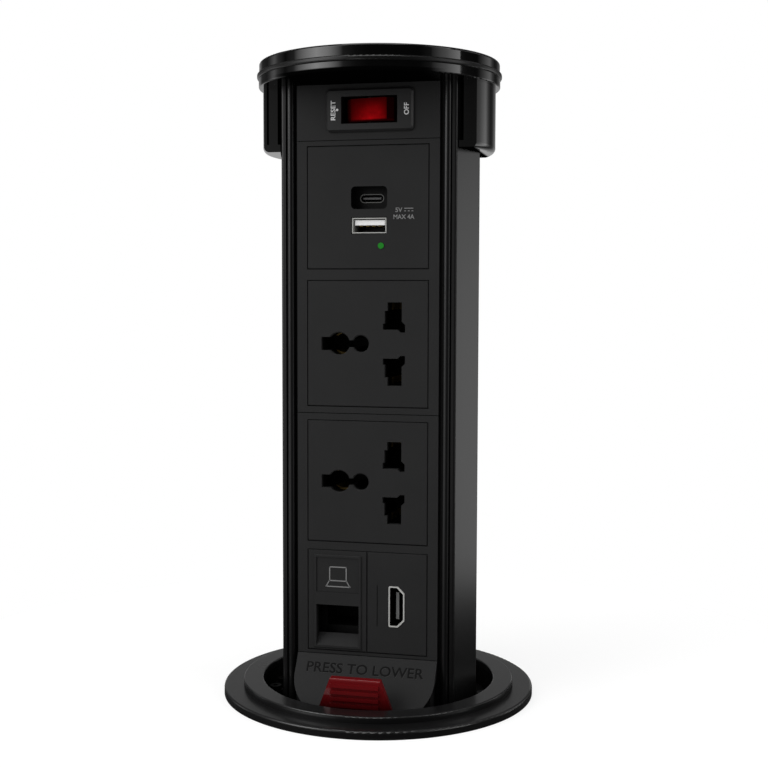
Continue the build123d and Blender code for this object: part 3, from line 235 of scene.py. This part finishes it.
nodeFinish = {
    "shellBlack": ["tower_shell"],
    "collarBlack": ["cap_collar"],
    "capBlack": ["top_cap"],
    "rimBlack": ["desk_flange"],
    "trimBlack": ["trim_ring"],
    "hiddenBlack": ["outer_sleeve", "tower_foot", "sleeve_end_cap", "rise_stop", "clamp_dog_left",
                    "clamp_dog_right"],
    "panelBlack": ["switch_panel", "upper_front_panel", "lower_front_panel", "socket_face_upper",
                   "socket_face_lower", "data_module_frame", "hdmi_module_face", "data_icon_plate"],
    "portFace": ["usb_module_face"],
    "bezelBlack": ["switch_bezel"],
    "bibBlack": ["release_bezel"],
    "sealRubber": ["flange_gasket", "cap_seal", "landing_pad"],
    "darkCase": ["switch_body", "usb_module_case", "socket_body_upper", "socket_body_lower", "data_jack",
                 "hdmi_body", "foot_base_plate", "cable_gland", "gland_nut"],
    "zincSteel": ["clamp_screws", "end_cap_screws", "shell_screws", "base_plate_screws", "latch_bolt_left",
                  "latch_bolt_right", "button_spring", "latch_springs"],
    "blackSteel": ["foot_screws"],
    "smallPort": ["usb_c_shell"],
    "largePort": ["usb_a_shell"],
    "displayPort": ["hdmi_shell"],
    "smallTongue": ["usb_c_tongue"],
    "displayTongue": ["hdmi_tongue"],
    "contactBrass": ["socket_contacts_upper", "socket_contacts_lower", "data_jack_contacts", "usb_a_contacts"],
    "clampBrass": ["clamp_nut_left", "clamp_nut_right"],
    "boardGreen": ["usb_circuit_board"],
    "whiteTongue": ["usb_a_tongue"],
    "buttonRed": ["release_button"],
    "rockerRed": ["switch_rocker"],
    "lightGreen": ["status_led"],
}
for name, nodes in nodeFinish.items():
    for node in nodes:
        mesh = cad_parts[node].data
        mesh.materials.clear()
        mesh.materials.append(materials[name])
print("finishes on the frame:", sum(len(nodes) for nodes in nodeFinish.values()))


def deselect():
    bpy.ops.object.select_all(action="DESELECT")


def pick(piece):
    deselect()
    piece.select_set(True)
    bpy.context.view_layer.objects.active = piece


def settle(piece, turn, place, material, body, name):
    # the place goes into the mesh, and the piece rides on its body
    piece.data.transform(Matrix.Translation(Vector(place) * mm) @ turn)
    piece.matrix_world = Matrix.Identity(4)
    piece.name = name
    piece.data.materials.clear()
    piece.data.materials.append(materials[material])
    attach(piece, body)
    return piece


faceFront = Matrix.Rotation(math.pi / 2, 4, "X")


def lettering(look):
    # words stand a hair proud of the face that carries them, stretched to the width that they have
    deselect()
    bpy.ops.object.text_add(location=(0, 0, 0))
    words = bpy.context.object
    words.data.body = look["words"]
    words.data.align_x = "CENTER"
    words.data.align_y = "CENTER"
    words.data.size = look["size"] * mm
    words.data.extrude = look["thick"] * mm / 2
    words.data.offset = look["bold"] * mm
    words.data.resolution_u = look["rounding"]
    pick(words)
    bpy.ops.object.convert(target="MESH")
    words = bpy.context.object
    spans = [[vertex.co[axis] for vertex in words.data.vertices] for axis in range(2)]
    middle = [(min(span) + max(span)) / 2 for span in spans]
    stretch = [look["span"][axis] * mm / (max(span) - min(span)) for axis, span in enumerate(spans)]
    words.data.transform(Matrix.Translation((-middle[0], -middle[1], 0)))
    words.data.transform(Matrix.Diagonal((stretch[0], stretch[1], 1, 1)))
    turn = faceFront @ Matrix.Rotation(math.radians(look["turn"]), 4, "Z")
    turn = Matrix.Rotation(math.radians(look["lean"]), 4, "X") @ turn
    return settle(words, turn, look["place"], look["material"], "tower", look["name"])


legend = {"size": 4.0, "thick": 0.08, "bold": 0.05, "rounding": 3, "turn": 0, "lean": 0,
          "material": "legendWhite"}
release = dict(legend, words="PRESS TO LOWER", lean=-35.15)
rating = dict(legend, material="legendGrey")
legends = [
    dict(legend, name="legend_reset", words="RESET", span=(6.9, 1.75), turn=90, place=(-12.35, -20.05, 215.8)),
    dict(legend, name="legend_off", words="OFF", span=(4.2, 1.8), turn=90, place=(14.5, -20.05, 215.7)),
    dict(rating, name="legend_volts", words="5V", span=(2.5, 1.6), place=(11.55, -18.55, 180.3)),
    dict(rating, name="legend_amps", words="MAX 4A", span=(7.6, 1.6), place=(13.4, -18.55, 177.85)),
    # the engraved release legend is painted: a dark copy for the shade in the grooves, and a lighter copy a
    # little lower and to the right for the lit lower edges
    dict(release, name="legend_release", span=(44.0, 3.9), place=(0.0, -21.62, 12.91), thick=0.1,
         material="engravingShade"),
    dict(release, name="legend_release_highlight", span=(44.0, 3.9), place=(0.16, -21.715, 12.75), thick=0.06,
         material="engravingHighlight"),
]
for look in legends:
    lettering(look)


strokeThick = 0.1
edge = {"width": 0.03, "segments": 2}


def bar(x, z, y):
    # a thin raised line between two corners
    deselect()
    bpy.ops.mesh.primitive_cube_add(size=1, location=(0, 0, 0))
    line = bpy.context.object
    line.data.transform(Matrix.Diagonal(((x[1] - x[0]) * mm, strokeThick * mm, (z[1] - z[0]) * mm, 1)))
    line.data.transform(Matrix.Translation(Vector(((x[0] + x[1]) / 2, y, (z[0] + z[1]) / 2)) * mm))
    return line


def soften(piece):
    # a small bevel along every edge
    pick(piece)
    bevel = piece.modifiers.new("bevel", "BEVEL")
    bevel.width = edge["width"] * mm
    bevel.segments = edge["segments"]
    bpy.ops.object.modifier_apply(modifier=bevel.name)
    return piece


def joined(parts, material, body, name):
    deselect()
    for part in parts:
        part.select_set(True)
    bpy.context.view_layer.objects.active = parts[0]
    bpy.ops.object.join()
    return settle(soften(bpy.context.object), Matrix.Identity(4), (0, 0, 0), material, body, name)


directCurrent = {"x": (13.5, 16.8), "z": 180.7, "gap": 0.95, "line": 0.28, "face": -18.54, "dashes": 3}


def currentSign(look):
    # one unbroken line above a line of dashes, with gaps as long as the dashes
    start, end = look["x"]
    low = look["z"] - look["gap"]
    dash = (end - start) / (2 * look["dashes"] - 1)
    parts = [bar((start, end), (look["z"], look["z"] + look["line"]), look["face"])]
    for step in range(look["dashes"]):
        left = start + 2 * step * dash
        parts.append(bar((left, left + dash), (low, low + look["line"]), look["face"]))
    return parts


joined(currentSign(directCurrent), "legendGrey", "tower", "legend_direct_current")

laptop = {"screen": (-14.3, -7.6, 44.6, 50.1), "base": (-15.75, -6.15, 42.4, 44.6), "line": 0.4, "face": -18.7}


def laptopSign(look):
    # a screen, and in front of it a base that widens towards its lower edge
    x0, x1, z0, z1 = look["screen"]
    line, face = look["line"], look["face"]
    parts = [bar((x0, x1), (z1 - line, z1), face), bar((x0, x0 + line), (z0, z1), face),
             bar((x1 - line, x1), (z0, z1), face), bar((x0, x1), (z0, z0 + line), face)]
    b0, b1, y0, y1 = look["base"]
    parts.append(bar((b0, b1), (y0, y0 + line), face))
    for side, (foot, top) in enumerate(((b0, x0), (b1, x1))):
        stroke = bar((0, line), (y0, y1 + line), face)
        for vertex in stroke.data.vertices:
            share = (vertex.co.z / mm - y0) / (y1 + line - y0)
            vertex.co.x += (foot + (top - foot) * share - (line if side else 0)) * mm
        parts.append(stroke)
    return parts


joined(laptopSign(laptop), "legendGrey", "tower", "laptop_sign")

dot = {"place": (-10.85, -20.03, 215.95), "radius": 0.45, "sides": 24}
deselect()
bpy.ops.mesh.primitive_cylinder_add(vertices=dot["sides"], radius=dot["radius"] * mm, depth=strokeThick * mm,
                                    location=(0, 0, 0))
settle(soften(bpy.context.object), faceFront, dot["place"], "legendWhite", "tower", "reset_dot")
print("legends made")

# coil springs between their seats, for the button and the latch bolts, in place of the frame's spring nodes
coil = {"wire": 0.3, "radius": 2.5, "pitch": 1.7, "sides": 10, "steps": 20, "smooth": 60}
latchCoil = {"node": "latch_springs", "give": 2.8, "axis": (1, 0, 0), "length": 9.596}
springs = [
    {"name": "button_coil", "node": "button_spring", "joint": "release_press", "give": 3.5, "axis": (0, 1, 0),
     "seat": (0, 29.698, -14.2), "length": 16.396, "turn": Matrix.Rotation(math.pi / 2, 4, "X")},
    dict(latchCoil, name="latch_coil_left", joint="latch_left_slide", seat=(-2.102, 0, -24.0),
         turn=Matrix.Rotation(-math.pi / 2, 4, "Y")),
    dict(latchCoil, name="latch_coil_right", joint="latch_right_slide", seat=(2.102, 0, -24.0),
         turn=Matrix.Rotation(math.pi / 2, 4, "Y")),
]


def wound(look):
    # a ring of wire carried round and up, with its two ends closed
    deselect()
    bpy.ops.mesh.primitive_circle_add(vertices=coil["sides"], radius=coil["wire"] * mm, location=(0, 0, 0))
    piece = bpy.context.object
    piece.data.transform(Matrix.Translation(Vector((coil["radius"], 0, coil["wire"])) * mm) @ faceFront)
    pick(piece)
    rise = look["length"] - 2 * coil["wire"]
    turns = rise / coil["pitch"]
    screw = piece.modifiers.new("coil", "SCREW")
    screw.angle = 2 * math.pi * turns
    screw.screw_offset = rise * mm
    screw.steps = round(coil["steps"] * turns)
    screw.render_steps = screw.steps
    bpy.ops.object.modifier_apply(modifier=screw.name)
    bpy.ops.object.mode_set(mode="EDIT")
    bpy.ops.mesh.select_all(action="SELECT")
    bpy.ops.mesh.fill_holes(sides=0)
    bpy.ops.mesh.normals_make_consistent(inside=False)
    bpy.ops.object.mode_set(mode="OBJECT")
    bpy.ops.object.shade_smooth_by_angle(angle=math.radians(coil["smooth"]))
    settle(piece, look["turn"], look["seat"], "zincSteel", "tower", look["name"])
    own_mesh(piece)
    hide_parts(look["node"])


for look in springs:
    wound(look)
print("springs made:", len(springs))

# worktop, which isn't part of the object
worktop = {"hole": 55.0, "edge": 200.0, "thick": 18.0, "seam": 0.05, "sides": 128, "drill": 54.0,
           "bounce": 0.45, "lit": 0.3, "glow": 0.72, "faint": 0.03}
white = (1, 1, 1, 1)
deselect()
bpy.ops.mesh.primitive_cylinder_add(vertices=worktop["sides"], radius=worktop["edge"] * mm,
                                    depth=worktop["thick"] * mm,
                                    location=(0, 0, -(worktop["thick"] / 2 + worktop["seam"]) * mm))
top = bpy.context.object
deselect()
bpy.ops.mesh.primitive_cylinder_add(vertices=worktop["sides"], radius=worktop["hole"] * mm,
                                    depth=worktop["drill"] * mm, location=(0, 0, 0))
drill = bpy.context.object
pick(top)
cut = top.modifiers.new("hole", "BOOLEAN")
cut.operation = "DIFFERENCE"
cut.object = drill
bpy.ops.object.modifier_apply(modifier=cut.name)
bpy.data.objects.remove(drill)
top.name = "worktop"
material, flow, output = newMaterial("worktopWhite")
straight, glossy, through = rays(flow)
bounce, lit = (flow.make("ShaderNodeBsdfDiffuse", {}, {"Color": (worktop[key],) * 3 + (1.0,)})
               for key in ("bounce", "lit"))
glow, faint = (flow.make("ShaderNodeEmission", {}, {"Color": white, "Strength": worktop[key]})
               for key in ("glow", "faint"))
shown = flow.make("ShaderNodeAddShader", {}, {0: glow, 1: lit})
shader = flow.make("ShaderNodeMixShader", {}, {0: glossy, 1: bounce, 2: faint})
shader = flow.make("ShaderNodeMixShader", {}, {0: flow.sum("MAXIMUM", straight, through), 1: shader, 2: shown})
flow.tree.links.new(shader.socket, output.inputs["Surface"])
top.data.materials.clear()
top.data.materials.append(material)

# world: white backdrop, and a room with windows that polished faces mirror
studio = {"room": 1.6, "low": 0.02, "high": 0.2, "highShare": 0.32, "soft": 0.55, "backdrop": 1.0}
world = bpy.data.worlds.new("studio")
bpy.context.scene.world = world
world.use_nodes = True
world.node_tree.nodes.clear()
flow = Wire(world.node_tree)
ends = flow.tree.nodes.new("ShaderNodeOutputWorld")
direction = flow.make("ShaderNodeTexCoord", {}, {}, "Generated")
sideways, depth, height = (flow.make("ShaderNodeSeparateXYZ", {}, {"Vector": direction}, axis)
                           for axis in "XYZ")
# how bright the room is, by bearing: 0 and 1 lie behind the object, 0.5 behind the camera
bearing = flow.sum("ARCTAN2", sideways, 0 - depth) * (0.5 / math.pi) + 0.5
panorama = [(0.0, 0.36), (0.1, 0.4), (0.125, 0.09), (0.17, 0.08), (0.186, 0.25), (0.212, 1.0), (0.229, 0.4),
            (0.262, 0.05), (0.28, 0.22), (0.3, 0.36), (0.315, 0.4), (0.405, 0.6), (0.44, 0.36), (0.475, 0.11),
            (0.51, 0.04), (0.64, 0.035), (0.665, 0.16), (0.685, 0.24), (0.7, 0.38), (0.725, 0.38), (0.75, 0.2),
            (0.78, 0.07), (0.827, 0.03), (0.848, 0.4), (0.87, 0.8), (0.89, 1.0), (0.907, 0.25), (0.925, 0.05),
            (0.945, 0.06), (0.97, 0.22), (1.0, 0.3)]
room = flow.make("ShaderNodeValToRGB", {"stops": panorama}, {"Fac": bearing}, 0) * studio["room"]
above = flow.make("ShaderNodeMapRange", {}, {"Value": height, "From Min": studio["low"],
                                             "From Max": studio["high"], "To Min": 1.0,
                                             "To Max": studio["highShare"]})
room = room * above
straight, glossy, through = rays(flow)
direct = flow.sum("MAXIMUM", straight, through)
soft, mirror, backdrop = (flow.make("ShaderNodeBackground", {}, {"Color": white, "Strength": strength})
                          for strength in (studio["soft"], room, studio["backdrop"]))
mixed = flow.make("ShaderNodeMixShader", {}, {0: glossy, 1: soft, 2: mirror})
mixed = flow.make("ShaderNodeMixShader", {}, {0: direct, 1: mixed, 2: backdrop})
flow.tree.links.new(mixed.socket, ends.inputs["Surface"])

# the side lamps fade across their width, which the polished cap mirrors as soft streaks
lamps = [
    {"name": "leftSoftbox", "place": (-0.95, -0.9, 0.75), "size": (1.4, 1.0), "power": 20.0,
     "across": [(0.0, 0.0), (0.5, 1.0), (0.7, 0.7), (1.0, 0.0)]},
    {"name": "rightSoftbox", "place": (1.1, -0.25, 0.7), "size": (0.7, 1.0), "power": 6.2,
     "across": [(0.0, 0.05), (0.5, 0.4), (0.95, 1.0), (1.0, 1.0)]},
    {"name": "topSoftbox", "place": (0.0, -0.2, 1.4), "size": (0.8, 0.8), "power": 6.0,
     "across": [(0.0, 1.0), (1.0, 1.0)]},
]
aim = Vector((0, 0, 0.1))
for look in lamps:
    lamp = bpy.data.lights.new(look["name"], "AREA")
    lamp.shape = "RECTANGLE"
    lamp.size, lamp.size_y = look["size"]
    lamp.energy = look["power"]
    lamp.use_nodes = True
    lamp.node_tree.nodes.clear()
    flow = Wire(lamp.node_tree)
    ends = flow.tree.nodes.new("ShaderNodeOutputLight")
    across = flow.make("ShaderNodeNewGeometry", {}, {}, "Parametric")
    across = flow.make("ShaderNodeSeparateXYZ", {}, {"Vector": across}, "X")
    glow = flow.make("ShaderNodeValToRGB", {"stops": look["across"]}, {"Fac": across}, 0)
    glow = flow.make("ShaderNodeEmission", {}, {"Color": white, "Strength": glow})
    flow.tree.links.new(glow.socket, ends.inputs["Surface"])
    holder = bpy.data.objects.new(look["name"], lamp)
    bpy.context.scene.collection.objects.link(holder)
    holder.location = look["place"]
    holder.rotation_euler = (aim - Vector(look["place"])).to_track_quat("-Z", "Y").to_euler()

# camera, as the photograph was taken
view = {"azimuth": 13.256, "down": 4.173, "roll": 0.121, "place": (109.9, -466.4, 151.4), "lens": 59.777,
        "shift": 5.03, "pixels": 768, "sensor": 36.0, "near": 0.01}
azimuth, down, roll = (math.radians(view[key]) for key in ("azimuth", "down", "roll"))
ahead = Vector((-math.sin(azimuth) * math.cos(down), math.cos(azimuth) * math.cos(down), -math.sin(down)))
level = Vector((math.cos(azimuth), math.sin(azimuth), 0))
upward = level.cross(ahead)
side = level * math.cos(roll) + upward * math.sin(roll)
over = upward * math.cos(roll) - level * math.sin(roll)
lensData = bpy.data.cameras.new("photoCamera")
lensData.lens = view["lens"]
lensData.sensor_width = view["sensor"]
lensData.sensor_fit = "HORIZONTAL"
lensData.shift_x = view["shift"] / view["pixels"]
lensData.clip_start = view["near"]
photoCamera = bpy.data.objects.new("photoCamera", lensData)
bpy.context.scene.collection.objects.link(photoCamera)
stance = Matrix((side, over, -ahead)).transposed()
photoCamera.matrix_world = Matrix.Translation(Vector(view["place"]) * mm) @ stance.to_4x4()
bpy.context.scene.camera = photoCamera
bpy.context.scene.view_settings.view_transform = "Standard"
print("stage, lamps and camera set")
